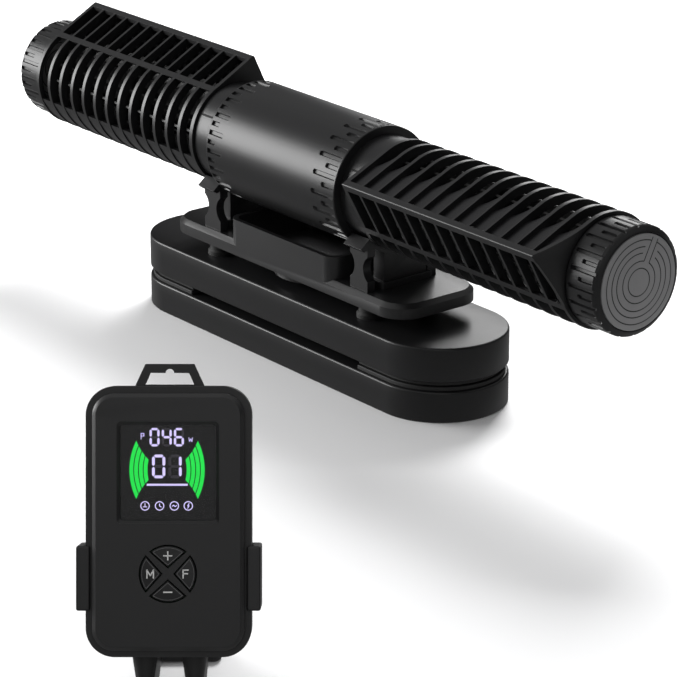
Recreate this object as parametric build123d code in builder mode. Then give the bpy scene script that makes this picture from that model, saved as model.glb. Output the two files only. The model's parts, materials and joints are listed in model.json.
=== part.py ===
from build123d import *
import os
from math import acos, cos, degrees, pi, radians, sin, sqrt, tan

os.makedirs("parts", exist_ok=True)

# Cross-flow wave maker on a two-piece magnet mount, with its hand controller in a stand.
# Origin: centre of the outer magnet block's bottom face. X along the pump, -Y front, +Z up.

# ---------------------------------------------------------------- driving dimensions (mm)
pump_axis_y = -2.7
pump_axis_z = 80.8
housing_radius = 24.9
housing_half = 42.5
neck_radius = 21.4
neck_end = 55.0
cage_start = 55.5
cage_end = 173.0
cap_start = 173.3
cap_end = 190.2
cap_radius = 21.3
end_gap = 0.3  # between parts that turn against each other

cage_radius = 22.6
cage_corner = 33.0  # distance of the outlet's corner edge from the axis
cage_wall = 2.0
opening_count = 13
rib_thickness = 1.8

shaft_radius = 2.5
running_clearance = 0.05
bush_radius = 4.5
magnet_radius = 10.3
impeller_radius = 17.0
blade_count = 14

block_length = 206.0
block_width = 55.2
outer_block_height = 12.9
inner_block_height = 14.3
pad_thickness = 1.8
case_wall = 2.0
cover_thickness = 1.6
pad_start = 56.0  # the pads cover only the block's ends, from this |x| outwards

plate_bottom = 37.0
plate_edge_height = 4.2
plate_top = 43.0
plate_length = 154.0
plate_width = 45.2
plate_corner = 12.0
tub_length = 70.0
tub_top = 52.5
tub_wall = 2.2

facing_angle = 51.5  # which way the controller faces, turned from -Y towards +X
lean_back = 20.3
controller_foot = (249.2, -256.3, 30.0)  # middle of the controller's lower front edge
shell_width = 51.2
shell_height = 83.6
shell_corner = 9.0
shell_depth = 17.0
lead_diameter = 3.4
lead_spacing = 15.4
lead_depth = 11.5  # how far behind the front face the leads leave the shell
boot_length = 10.0

# ---------------------------------------------------------------- derived heights
inner_pad_bottom = outer_block_height + pad_thickness + end_gap
inner_block_bottom = inner_pad_bottom + pad_thickness
inner_block_top = inner_block_bottom + inner_block_height
opening_pitch = (cage_end - cage_start - rib_thickness) / opening_count
tangent_angle = degrees(acos(cage_radius / cage_corner))
flat_length = sqrt(cage_corner**2 - cage_radius**2)
ends = {"left": -1, "right": 1}


def axial_plane(side, distance, turn=0.0):
    """Plane across the pump's axis, facing away from the housing. turn aims its x direction."""
    return Plane(
        origin=(side * distance, pump_axis_y, pump_axis_z),
        x_dir=(0, cos(radians(turn)), sin(radians(turn))),
        z_dir=(side, 0, 0),
    )


def write(part, label):
    part.label = label
    export_step(part, f"parts/{label}.step")


def ring(plane, outer, inner, length):
    """Adds a tube to the part in work."""
    with BuildSketch(plane) as section:
        Circle(outer)
        if inner:
            Circle(inner, mode=Mode.SUBTRACT)
    extrude(section.sketch, amount=length)


# ---------------------------------------------------------------- magnet blocks
def magnet_case(label, floor_z, height):
    with BuildPart() as case:
        with BuildSketch(Plane.XY.offset(floor_z)):
            SlotOverall(block_length, block_width)
        extrude(amount=height)
        chamfer(case.faces().sort_by(Axis.Z)[-1].edges(), 0.7)
        with BuildSketch(Plane.XY.offset(floor_z)):
            SlotOverall(block_length - 2 * case_wall, block_width - 2 * case_wall)
        extrude(amount=height - case_wall, mode=Mode.SUBTRACT)
    write(case.part, label + "_case")
    with BuildPart() as cover:
        with BuildSketch(Plane.XY.offset(floor_z)):
            SlotOverall(block_length - 2 * case_wall - 0.1, block_width - 2 * case_wall - 0.1)
        extrude(amount=cover_thickness)
    write(cover.part, label + "_cover")
    magnet_height = height - case_wall - cover_thickness - 0.1
    with BuildPart() as magnets:
        with BuildSketch(Plane.XY.offset(floor_z + cover_thickness)):
            with GridLocations(49, 0, 3, 1):
                Rectangle(46, 42)
        extrude(amount=magnet_height)
    write(magnets.part, label + "_bars")


def grip_pads(label, floor_z, inset):
    with BuildPart() as pads:
        with BuildSketch(Plane.XY.offset(floor_z)):
            SlotOverall(block_length - 2 * inset, block_width - 2 * inset)
            Rectangle(2 * pad_start, block_width, mode=Mode.SUBTRACT)
        extrude(amount=pad_thickness)
    write(pads.part, label)


magnet_case("outer_magnet", 0, outer_block_height)
magnet_case("inner_magnet", inner_block_bottom, inner_block_height)
grip_pads("outer_grip_pads", outer_block_height, 1.2)
grip_pads("inner_grip_pads", inner_pad_bottom, 2.0)

# ---------------------------------------------------------------- dampers and bracket
screw_spots = [(side * 50.7, y) for side in ends.values() for y in (-6.5, 6.5)]
screw_radius = 1.6

with BuildPart() as dampers:
    for x in (-50, 50):
        for y in (-15, 15):
            with BuildSketch(Plane.XY.offset(inner_block_top)):
                with Locations((x, y)):
                    Circle(5.5)
            extrude(amount=2.4)
            with BuildSketch(Plane.XY.offset(inner_block_top + 2.4)):
                with Locations((x, y)):
                    Circle(4.6)
            extrude(amount=plate_bottom - inner_block_top - 2.4)
    chamfer(dampers.faces().filter_by_position(Axis.Z, inner_block_top + 2.3, inner_block_top + 2.5)
            .edges().filter_by(lambda e: e.radius > 5), 0.8)
write(dampers.part, "rubber_dampers")

with BuildPart() as bracket:
    with BuildSketch(Plane.XY.offset(plate_bottom)):
        RectangleRounded(plate_length, plate_width, plate_corner)
    extrude(amount=plate_top - plate_bottom)
    bevel = plate_top - plate_bottom - plate_edge_height
    chamfer(bracket.faces().sort_by(Axis.Z)[-1].edges(), bevel)
    with BuildSketch(Plane.XY.offset(plate_bottom)):
        RectangleRounded(tub_length, plate_width, 6)
    extrude(amount=tub_top - plate_bottom)
    with BuildSketch(Plane.XY.offset(plate_bottom + 2.4)):
        RectangleRounded(tub_length - 2 * tub_wall, plate_width - 2 * tub_wall, 6 - tub_wall)
    extrude(amount=tub_top, mode=Mode.SUBTRACT)
    with BuildSketch(Plane.XY.offset(plate_bottom - 3)):
        Circle(20)
    extrude(amount=3)
    with Locations(*[(x, y, plate_bottom) for x, y in screw_spots]):
        Cylinder(screw_radius, 20, align=(Align.CENTER, Align.CENTER, Align.CENTER), mode=Mode.SUBTRACT)
write(bracket.part, "bracket_plate")


# ---------------------------------------------------------------- saddle clips
clip_inner = neck_radius + 0.35
clip_outer = clip_inner + 2.6
clip_start = 43.4
clip_width = 11.0
seat_turns = (229, 371)  # the curved seat runs under the neck between these angles
front_post = dict(y=-18.0, width=4.0, height=19.4)
rear_post = dict(y=13.2, width=4.6, height=20.0)
waist_radius = 6.0
waist_height = 52.5
pedestal_x = 51
pedestal_y = -0.5
pedestal_height = 19.5


def saddle_clip(name, side):
    across = Plane(origin=(side * clip_start, 0, 0), x_dir=(0, 1, 0), z_dir=(1, 0, 0))
    outward = side * clip_width
    low_turn, high_turn = seat_turns
    with BuildPart() as clip:
        # posts in front of and behind the neck, then the curved seat between them
        with BuildSketch(across):
            for post in (front_post, rear_post):
                with Locations((post["y"], plate_top)):
                    Rectangle(post["width"], post["height"], align=(Align.CENTER, Align.MIN))
        extrude(amount=outward)
        with BuildSketch(across):
            with BuildLine():
                seat = CenterArc((pump_axis_y, pump_axis_z), clip_inner, low_turn, high_turn - low_turn)
                rim = CenterArc((pump_axis_y, pump_axis_z), clip_outer, low_turn, high_turn - low_turn)
                Line(seat @ 0, rim @ 0)
                Line(seat @ 1, rim @ 1)
            make_face()
            with BuildLine():
                Polyline((-16.0, 62.6), (-21.6, 60.2), (-23.4, 61.6), (-19.0, 65.2), (-16.0, 62.6))
            make_face()
        extrude(amount=outward)
        # block and foot under the neck
        with BuildSketch(Plane.XY.offset(plate_top)):
            with Locations((side * pedestal_x, pedestal_y)):
                Rectangle(6.4, 22)
        extrude(amount=pedestal_height)
        with BuildSketch(Plane.XY.offset(plate_top)):
            with Locations((side * pedestal_x, pedestal_y)):
                RectangleRounded(10, 26, 1.5)
        extrude(amount=3.0)
        # the posts are waisted like an hourglass
        with BuildSketch(Plane.XZ.offset(12.6)):
            with Locations((side * (clip_start - 3.2), waist_height),
                           (side * (clip_start + clip_width + 3.2), waist_height)):
                Circle(waist_radius)
        extrude(amount=12, mode=Mode.SUBTRACT)
        with BuildSketch(axial_plane(side, clip_start - 1)):
            Circle(clip_inner)
        extrude(amount=clip_width + 4, mode=Mode.SUBTRACT)
        with Locations(*[(x, y, plate_top) for x, y in screw_spots if x * side > 0]):
            Cylinder(screw_radius, 18, mode=Mode.SUBTRACT)
    write(clip.part, name + "_saddle_clip")


with BuildPart() as clip_screws:
    for x, y in screw_spots:
        with BuildSketch(Plane.XY.offset(plate_bottom - 1.8)):
            with Locations((x, y)):
                Circle(3.0)
        extrude(amount=1.8)
        with BuildSketch(Plane.XY.offset(plate_bottom)):
            with Locations((x, y)):
                Circle(screw_radius)
        extrude(amount=14.5)
write(clip_screws.part, "clip_screws")

# ---------------------------------------------------------------- motor
tube_inner = 21.0
bell_plug = 5.0  # how far an end bell reaches into the housing
stator_half = 22.0
gland_bore = 2.25
gland_nut = 4.0
gland_length = 11.0
gland_place = Plane(origin=(0, pump_axis_y, pump_axis_z), x_dir=(1, 0, 0), z_dir=(0, 1, 0))

with BuildPart() as housing:
    ring(axial_plane(1, -housing_half), housing_radius, tube_inner, 2 * housing_half)
    chamfer(housing.edges().filter_by(GeomType.CIRCLE)
            .filter_by(lambda e: e.radius > housing_radius - 0.1), 0.5)
    with BuildSketch(gland_place):
        Circle(3.0)
    extrude(amount=40, mode=Mode.SUBTRACT)
write(housing.part, "motor_housing")

with BuildPart() as gland:
    with BuildSketch(gland_place.offset(housing_radius - 2.5)):
        Circle(3.0)
    extrude(amount=3.0)
    with BuildSketch(gland_place.offset(housing_radius)):
        RegularPolygon(6.2, 6)
    extrude(amount=gland_nut)
    with BuildSketch(gland_place.offset(housing_radius + gland_nut)):
        Circle(5.0)
    with BuildSketch(gland_place.offset(housing_radius + gland_length)):
        Circle(3.6)
    loft()
    with BuildSketch(gland_place.offset(housing_radius - 4)):
        Circle(gland_bore)
    extrude(amount=20, mode=Mode.SUBTRACT)
write(gland.part, "cable_gland")


def end_bell(name, side):
    with BuildPart() as bell:
        ring(axial_plane(side, housing_half - bell_plug), tube_inner, 0, bell_plug)
        ring(axial_plane(side, housing_half), neck_radius, 0, neck_end - housing_half)
        with BuildSketch(axial_plane(side, housing_half + 2.5)):
            Circle(18.6)
        extrude(amount=20, mode=Mode.SUBTRACT)
        with BuildSketch(axial_plane(side, housing_half - bell_plug)):
            Circle(bush_radius)
        extrude(amount=20, mode=Mode.SUBTRACT)
        with BuildSketch(axial_plane(side, housing_half - 3.2)):
            Circle(tube_inner)
            Circle(tube_inner - 1.4, mode=Mode.SUBTRACT)
        extrude(amount=1.8, mode=Mode.SUBTRACT)
    write(bell.part, name + "_end_bell")


with BuildPart() as o_rings:
    for side in ends.values():
        ring(axial_plane(side, housing_half - 3.2), tube_inner, tube_inner - 1.4, 1.8)
write(o_rings.part, "housing_o_rings")

with BuildPart() as bushes:
    for side in ends.values():
        ring(axial_plane(side, housing_half - bell_plug), bush_radius, shaft_radius + running_clearance, 7.5)
write(bushes.part, "ceramic_bushes")

with BuildPart() as can:
    ring(axial_plane(1, -(housing_half - bell_plug)), 12.2, 11.2, 2 * (housing_half - bell_plug))
write(can.part, "rotor_can")

with BuildPart() as stator:
    ring(axial_plane(1, -stator_half), tube_inner, 12.2, 2 * stator_half)
    with BuildSketch(axial_plane(1, -stator_half)):
        with PolarLocations(15.4, 6):
            Rectangle(5.6, 6.0)
    extrude(amount=2 * stator_half, mode=Mode.SUBTRACT)
write(stator.part, "stator_core")

with BuildPart() as coils:
    with BuildSketch(axial_plane(1, -stator_half - 3)):
        with PolarLocations(15.4, 6):
            Rectangle(5.4, 5.8)
    extrude(amount=2 * stator_half + 6)
write(coils.part, "stator_coils")

# ---------------------------------------------------------------- rotor
shaft_half = 182.5
with BuildPart() as shaft:
    ring(axial_plane(1, -shaft_half), shaft_radius, 0, 2 * shaft_half)
    chamfer(shaft.edges().filter_by(GeomType.CIRCLE), 0.4)
write(shaft.part, "rotor_shaft")

with BuildPart() as rotor_magnet:
    ring(axial_plane(1, -stator_half), magnet_radius, shaft_radius, 2 * stator_half)
write(rotor_magnet.part, "rotor_magnet")

impeller_start = cage_start + 4
impeller_end = cage_end - 3
disc_thickness = 1.5


def impeller(name, side):
    length = impeller_end - impeller_start
    with BuildPart() as drum:
        ring(axial_plane(side, impeller_start), 4.5, shaft_radius, length)
        for step in range(3):
            spot = impeller_start + step * (length - disc_thickness) / 2
            ring(axial_plane(side, spot), impeller_radius, shaft_radius, disc_thickness)
        with BuildSketch(axial_plane(side, impeller_start)):
            with PolarLocations(impeller_radius - 2.6, blade_count):
                Rectangle(4.6, 0.9, rotation=28)
        extrude(amount=length)
    write(drum.part, name + "_impeller")


# ---------------------------------------------------------------- flow cages
corner_direction = {"left": 72.0, "right": 161.7}
mouth_side = {"left": -1, "right": 1}  # which side of the corner the outlet lies on, in the cage's own plane


def polar(radius, angle):
    return (radius * cos(radians(angle)), radius * sin(radians(angle)))


def cage_outline(inset):
    """Circle with one corner: two flats meet at the outlet's edge. Drawn with the corner on +x."""
    radius = cage_radius - inset
    corner = radius / cos(radians(tangent_angle))
    Circle(radius)
    Polygon((0, 0), polar(radius, -tangent_angle), (corner, 0), polar(radius, tangent_angle), align=None)


def flow_cage(name, side):
    mouth = mouth_side[name]
    turn = corner_direction[name]
    length = cage_end - cage_start

    def across(distance):
        return axial_plane(side, distance, turn)

    with BuildPart() as cage:
        with BuildSketch(across(cage_start)):
            cage_outline(0)
        extrude(amount=length)
        lip = cage.edges().filter_by(Axis.X).sort_by(
            lambda e: (e.center() - Vector(0, pump_axis_y, pump_axis_z)).cross(Vector(1, 0, 0)).length)[-1]
        fillet(lip, 0.8)
        with BuildSketch(across(cage_start + cage_wall)):
            cage_outline(cage_wall)
        extrude(amount=length - 2 * cage_wall, mode=Mode.SUBTRACT)
        # round ends: a sleeve that runs inside the neck, and the cap's seat
        ring(across(cage_start - 6.5), 18.3, 0, 6.5)
        with BuildSketch(across(cage_start - 6.5)):
            Circle(16.3)
        extrude(amount=12, mode=Mode.SUBTRACT)
        with BuildSketch(across(cage_end - cage_wall)):
            Circle(cage_radius - cage_wall)
        extrude(amount=cage_wall, mode=Mode.SUBTRACT)
        # the outlet's windows and intake windows on both sides of the closed band between the rails
        first = tangent_angle + 5
        last = 360 - tangent_angle - 8
        rails = (tangent_angle + 84, tangent_angle + 176)
        spans = ((first, rails[0] - 3), (rails[1] + 3, last))
        for count in range(opening_count):
            begin = cage_start + rib_thickness + count * opening_pitch
            with BuildSketch(across(begin)):
                for start, end in spans:
                    with BuildLine():
                        sweep_turn = mouth * (end - start)
                        near = CenterArc((0, 0), cage_radius - cage_wall - 1, mouth * start, sweep_turn)
                        far = CenterArc((0, 0), cage_radius + 1, mouth * start, sweep_turn)
                        Line(near @ 0, far @ 0)
                        Line(near @ 1, far @ 1)
                    make_face()
                with Locations(Location((0, 0, 0), (0, 0, mouth * tangent_angle))):
                    with Locations((cage_radius, -mouth * (flat_length / 2 + 0.1))):
                        Rectangle(3 * cage_wall, flat_length - 6.4)
            extrude(amount=opening_pitch - rib_thickness, mode=Mode.SUBTRACT)
        # blind grooves in the closed flat
        for count in range(1, opening_count):
            with BuildSketch(across(cage_start + count * opening_pitch)):
                with Locations(Location((0, 0, 0), (0, 0, -mouth * tangent_angle))):
                    with Locations((cage_radius, mouth * (flat_length / 2 - 1.5))):
                        Rectangle(1.6, flat_length - 6)
            extrude(amount=rib_thickness, mode=Mode.SUBTRACT)
    write(cage.part, name + "_cage")


# ---------------------------------------------------------------- end caps
def end_cap(name, side):
    spigot = cage_radius - cage_wall - end_gap
    with BuildPart() as cap:
        ring(axial_plane(side, cap_start - 5), spigot, spigot - 2, 5)
        ring(axial_plane(side, cap_start), cap_radius, 0, cap_end - cap_start - 0.8)
        chamfer(cap.edges().filter_by(GeomType.CIRCLE).filter_by(lambda e: e.radius > cap_radius - 0.1)
                .sort_by(Axis.X)[0 if side < 0 else -1], 2.2)
        with BuildSketch(axial_plane(side, cap_start + 2)):
            Circle(cap_radius - 3.4)
        extrude(amount=cap_end - cap_start, mode=Mode.SUBTRACT)
        ring(axial_plane(side, cap_start + 2), 7.0, 0, 10)
        with BuildSketch(axial_plane(side, cap_start - 6)):
            Circle(bush_radius)
        extrude(amount=16, mode=Mode.SUBTRACT)
    write(cap.part, name + "_end_cap")
    with BuildPart() as disc:
        ring(axial_plane(side, cap_end - 3.0), cap_radius - 3.4, 0, 2.4)
    write(disc.part, name + "_cap_disc")
    with BuildPart() as bush:
        ring(axial_plane(side, cap_start), bush_radius, shaft_radius + running_clearance, 10)
    write(bush.part, name + "_cap_bush")


for name, side in ends.items():
    saddle_clip(name, side)
    end_bell(name, side)
    impeller(name, side)
    flow_cage(name, side)
    end_cap(name, side)

# ---------------------------------------------------------------- controller
turn, lean = radians(facing_angle), radians(lean_back)
sideways = Vector(cos(turn), sin(turn), 0)
forwards = Vector(sin(turn) * cos(lean), -cos(turn) * cos(lean), sin(lean))
upwards = forwards.cross(sideways)
front = Plane(
    origin=Vector(*controller_foot) + upwards * (shell_height / 2),
    x_dir=sideways,
    z_dir=forwards,
)  # the controller's front face, with its centre as origin

rear_depth = 10.5
lid_inset = 2.2
shell_wall = 1.8
shell_screw_grid = (39.0, 70.0)
shell_screw_radius = 1.7
screen_centre = (0, 15.3)
screen_size = 31.4
button_centre = (0, -15.8)
button_ring = 8.6
petal_tip = 2.0
petal_half = 38.0


def box_on(plane, size, depth, at=(0, 0), corner=0.0, mode=Mode.ADD):
    """Adds or cuts a block that stands on a plane of the controller."""
    with BuildSketch(plane) as section:
        with Locations(at):
            if corner:
                RectangleRounded(size[0], size[1], corner)
            else:
                Rectangle(size[0], size[1])
    extrude(section.sketch, amount=depth, mode=mode)


with BuildPart() as rear_shell:
    box_on(front.offset(-shell_depth), (shell_width, shell_height), rear_depth, corner=shell_corner)
    fillet(rear_shell.faces().sort_by(Axis(front.origin, forwards))[0].edges(), 2.5)
    box_on(front.offset(-shell_depth + shell_wall), (shell_width - 4, shell_height - 4), rear_depth,
           corner=shell_corner - 2, mode=Mode.SUBTRACT)
    # hanger loop
    with BuildSketch(front.offset(-shell_depth + 4)):
        top = shell_height / 2
        Polygon((-11.2, top - 1), (-7.6, top + 6.8), (7.6, top + 6.8), (11.2, top - 1), align=None)
        Polygon((-7.6, top + 0.4), (-6.0, top + 4.0), (6.0, top + 4.0), (7.6, top + 0.4), align=None,
                mode=Mode.SUBTRACT)
        with Locations((0, top + 3.9)):
            Circle(1.4, mode=Mode.SUBTRACT)
    extrude(amount=2.4)
    with BuildSketch(front.offset(-shell_depth - 0.4)):
        with GridLocations(*shell_screw_grid, 2, 2):
            Circle(shell_screw_radius)
    extrude(amount=2.2, mode=Mode.SUBTRACT)
    for x in (-lead_spacing / 2, lead_spacing / 2):
        with Locations(front * Location((x, -shell_height / 2, -lead_depth), (90, 0, 0))):
            Cylinder(2.4, 8, mode=Mode.SUBTRACT)
write(rear_shell.part, "controller_rear_shell")


def petal(centre_turn, grow):
    """One of four buttons: the outline of a quarter of a ring with its tip near the centre."""
    middle = Vector(*button_centre)
    tip = middle + Vector(*polar(petal_tip - grow, centre_turn))
    half = petal_half + degrees(grow / button_ring)
    with BuildLine() as outline:
        rim = CenterArc(middle, button_ring + grow, centre_turn - half, 2 * half)
        Line(rim @ 0, tip)
        Line(tip, rim @ 1)
    make_face(outline.edges())


with BuildPart() as front_shell:
    box_on(front.offset(-shell_depth + rear_depth), (shell_width, shell_height), 2.6, corner=shell_corner)
    box_on(front.offset(-4), (shell_width - 2 * lid_inset, shell_height - 2 * lid_inset), 4,
           corner=shell_corner - lid_inset)
    chamfer(front_shell.faces().sort_by(Axis(front.origin, forwards))[-1].edges(), 1.2)
    box_on(front.offset(-shell_depth + rear_depth), (shell_width - 8, shell_height - 8),
           shell_depth - rear_depth - shell_wall, corner=shell_corner - 4, mode=Mode.SUBTRACT)
    box_on(front.offset(-5), (screen_size, screen_size), 6, at=screen_centre, corner=1.2, mode=Mode.SUBTRACT)
    with BuildSketch(front.offset(-5)):
        for quarter in range(4):
            petal(90 * quarter, 0.35)
    extrude(amount=6, mode=Mode.SUBTRACT)
write(front_shell.part, "controller_front_shell")

with BuildPart() as window:
    box_on(front.offset(-1.7), (screen_size, screen_size), 0.9, at=screen_centre, corner=1.2)
write(window.part, "display_window")

with BuildPart() as panel:
    box_on(front.offset(-3.4), (screen_size - 0.6, screen_size - 0.6), 1.4, at=screen_centre)
write(panel.part, "display_panel")

with BuildPart() as gasket:
    box_on(front.offset(-shell_depth + rear_depth - 1), (shell_width - 4, shell_height - 4), 1.0,
           corner=shell_corner - 2)
    box_on(front.offset(-shell_depth + rear_depth - 1), (shell_width - 6, shell_height - 6), 1.0,
           corner=shell_corner - 3, mode=Mode.SUBTRACT)
write(gasket.part, "shell_gasket")

with BuildPart() as board:
    box_on(front.offset(-8.2), (shell_width - 9, shell_height - 12), 1.2)
    box_on(front.offset(-11.2), (12, 12), 3.0, at=(4, 8))
    box_on(front.offset(-12.2), (8, 10), 4.0, at=(-10, -12))
write(board.part, "circuit_board")

button_names = {"feed": 0, "plus": 90, "mode": 180, "minus": 270}
with BuildPart() as switches:
    for quarter in button_names.values():
        spot = polar(5.6, quarter)
        box_on(front.offset(-7.0), (3.4, 3.4), 2.2,
               at=(button_centre[0] + spot[0], button_centre[1] + spot[1]))
write(switches.part, "button_switches")

for name, quarter in button_names.items():
    with BuildPart() as button:
        with BuildSketch(front.offset(-shell_wall - 2.2)):
            petal(quarter, 0)
        extrude(amount=shell_wall + 2.6)
        chamfer(button.faces().sort_by(Axis(front.origin, forwards))[-1].edges(), 0.4)
    write(button.part, name + "_button")

# the stand: a back plate with two gripping arms, on two legs joined by a bar on the floor
plate_back = -shell_depth - 3.3
leg_spacing = lead_spacing
leg_thickness = 4
stand_reach = 46  # how far the legs go back on the floor
floor_bar = (8, 28, 3)
arm_height = 20
arm_middle = -17.4
arm_wall = 2.6
with BuildPart() as stand:
    box_on(front.offset(plate_back), (34, 46), 3.0, at=(0, -12))
    for x in (-1, 1):
        edge = shell_width / 2 + 0.3
        box_on(front.offset(plate_back), (edge + arm_wall - 12, arm_height), 3.0,
               at=(x * (edge + arm_wall + 12) / 2, arm_middle))
        box_on(front.offset(plate_back), (arm_wall, arm_height), -plate_back - 2.2,
               at=(x * (edge + arm_wall / 2), arm_middle))
        box_on(front.offset(-3.6), (4.4, arm_height), 1.4, at=(x * (edge + 0.4), arm_middle))
    heel = front.from_local_coords((0, -35, plate_back + 1.5))
    plate_low = heel.Z
    level = Plane(origin=(heel.X, heel.Y, 0), x_dir=(sin(turn), -cos(turn), 0), z_dir=-sideways)
    for x in (-1, 1):
        with BuildSketch(level.offset(-x * leg_spacing / 2 - leg_thickness / 2)):
            with BuildLine():
                Polyline((0.6, plate_low + 1), (5.6, 0), (-stand_reach, 0), (-stand_reach, floor_bar[2]),
                         (-8, 26), (-9, plate_low + 22), (0.6, plate_low + 1))
            make_face()
        extrude(amount=leg_thickness)
    with BuildSketch(Plane(origin=(heel.X, heel.Y, 0), x_dir=(sin(turn), -cos(turn), 0), z_dir=(0, 0, 1))):
        with Locations((floor_bar[0] / 2 - stand_reach, 0)):
            RectangleRounded(floor_bar[0], floor_bar[1], 3)
    extrude(amount=floor_bar[2])
write(stand.part, "controller_stand")

with BuildPart() as shell_screws:
    with BuildSketch(front.offset(-shell_depth - 0.2)):
        with GridLocations(*shell_screw_grid, 2, 2):
            Circle(shell_screw_radius)
    extrude(amount=2.0)
write(shell_screws.part, "shell_screws")

# ---------------------------------------------------------------- leads
lead_floor = lead_diameter / 2
pump_lead_turns = [(243.0, -261.2), (257, -274), (256, -298), (235, -312), (209, -319), (194, -341),
                   (204, -364), (228, -365), (250, -347), (260, -322)]
power_lead_turns = [(252.6, -249.2), (271, -260), (292, -250), (296, -225), (303, -200), (326, -185),
                    (349, -191), (355, -214), (341, -236), (319, -251)]


def lead_root(x):
    return front.from_local_coords((x, -shell_height / 2, -lead_depth))


def lead(name, x, turns, socket):
    root = lead_root(x)
    leaving = Plane(origin=root, x_dir=sideways, z_dir=-upwards)
    with BuildPart() as boot:
        with BuildSketch(leaving.offset(-1.8)):
            Circle(2.4)
        extrude(amount=1.8)
        with BuildSketch(leaving):
            Circle(4.0)
        with BuildSketch(leaving.offset(boot_length)):
            Circle(2.5)
        loft()
    write(boot.part, name + "_boot")

    start = root - upwards * boot_length
    points = [start] + [Vector(px, py, lead_floor) for px, py in turns]
    radii = []
    for before, at, after in zip(points, points[1:], points[2:]):
        arriving, going = at - before, after - at
        half_turn = radians(arriving.get_angle(going)) / 2
        radii.append(0.45 * min(arriving.length, going.length) / tan(half_turn))
    print(name, "radii", [round(r, 1) for r in radii])
    with BuildPart() as cable:
        with BuildLine():
            route = FilletPolyline(*points, radius=radii)
        with BuildSketch(Plane(origin=route @ 0, z_dir=route % 0)):
            Circle(lead_diameter / 2)
        sweep()
        print(name, "length", round(route.length, 1), "volume ratio",
              round(cable.part.volume / (route.length * pi * lead_diameter**2 / 4), 4))
    write(cable.part, name)

    tip = points[-1]
    along = (points[-1] - points[-2]).normalized()
    body = 4.2 if socket else 4.8
    rise = Plane(origin=(tip.X, tip.Y, lead_floor), z_dir=along)
    raised = Plane(origin=(tip.X, tip.Y, body), z_dir=along)
    with BuildPart() as plug:
        with BuildSketch(rise):
            Circle(lead_diameter / 2)
        with BuildSketch(raised.offset(8)):
            Circle(body)
        loft()
        with BuildSketch(raised.offset(8)):
            Circle(body)
        extrude(amount=18)
        with BuildSketch(raised.offset(16)):
            Circle(2.75 if socket else 3.4)
        extrude(amount=10, mode=Mode.SUBTRACT)
        if socket:
            with BuildSketch(raised.offset(16)):
                Circle(1.0)
            extrude(amount=8.5)
        else:
            with BuildSketch(raised.offset(16)):
                with PolarLocations(1.7, 4):
                    Circle(0.5)
            extrude(amount=7)
    write(plug.part, "power_socket" if socket else "pump_connector")


lead("pump_lead", -lead_spacing / 2, pump_lead_turns, socket=False)
lead("power_lead", lead_spacing / 2, power_lead_turns, socket=True)
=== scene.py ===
import json
import math

import bmesh
import bpy
from mathutils import Matrix, Vector


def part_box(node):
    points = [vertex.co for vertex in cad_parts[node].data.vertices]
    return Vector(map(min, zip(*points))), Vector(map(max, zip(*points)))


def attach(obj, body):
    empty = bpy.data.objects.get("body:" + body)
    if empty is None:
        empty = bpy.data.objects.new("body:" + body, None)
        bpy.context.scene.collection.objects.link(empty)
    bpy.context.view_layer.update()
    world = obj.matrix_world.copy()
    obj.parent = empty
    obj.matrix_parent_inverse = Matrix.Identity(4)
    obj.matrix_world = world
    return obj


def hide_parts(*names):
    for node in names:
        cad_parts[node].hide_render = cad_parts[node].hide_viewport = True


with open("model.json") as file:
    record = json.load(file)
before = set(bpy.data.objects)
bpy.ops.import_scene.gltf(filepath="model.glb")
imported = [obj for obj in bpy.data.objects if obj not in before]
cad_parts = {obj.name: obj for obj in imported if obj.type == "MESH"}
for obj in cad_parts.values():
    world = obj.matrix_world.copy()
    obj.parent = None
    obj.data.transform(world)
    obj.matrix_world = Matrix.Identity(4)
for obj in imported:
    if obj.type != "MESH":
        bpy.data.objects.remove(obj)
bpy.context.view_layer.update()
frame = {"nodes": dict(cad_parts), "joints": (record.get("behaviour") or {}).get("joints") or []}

mm = 0.001
joints = {joint["name"]: joint for joint in frame["joints"]}
pumpAxis = Vector(joints["pump_tilt"]["pos_m"])
sides = {"left": -1, "right": 1}


# camera, floor and light
camera = dict(place=(0.95729, -0.75177, 0.45464), azimuth=51.52, elevation=20.34, lens=165.06)
studio = dict(floorSize=9.0, floorColor=(0.9, 0.9, 0.905, 1), floorRoughness=0.7,
              groundColor=(0.45, 0.45, 0.45, 1), dimColor=(0.06, 0.06, 0.06, 1), dimFrom=0.03, dimUpTo=0.25,
              brightColor=(1, 1, 1, 1), brightFrom=0.85, worldPower=0.66)
softLights = {
    "keyPanel": dict(at=(-0.62, 0.80, 0.98), aim=(0, 0, 0), size=(0.5, 0.5), power=25, gloss=False),
    "backPanel": dict(at=(-0.24, 0.40, 0.29), aim=(0.06, 0, 0.06), size=(0.2, 0.2), power=0.75, gloss=True),
    "leftPanel": dict(at=(-1.0, -0.75, 0.33), aim=(0, 0, 0.08), size=(0.8, 0.6), power=19.5, gloss=True),
    "frontPanel": dict(at=(1.25, -1.0, 0.8), aim=(0.1, -0.1, 0.05), size=(1.2, 0.9), power=2.5, gloss=True),
}


def placeCamera():
    data = bpy.data.cameras.new("mainCamera")
    data.lens = camera["lens"]
    data.clip_start, data.clip_end = 0.02, 60
    eye = bpy.data.objects.new("mainCamera", data)
    eye.location = camera["place"]
    eye.rotation_euler = (math.radians(90 - camera["elevation"]), 0, math.radians(camera["azimuth"]))
    bpy.context.scene.collection.objects.link(eye)
    bpy.context.scene.camera = eye


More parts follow.
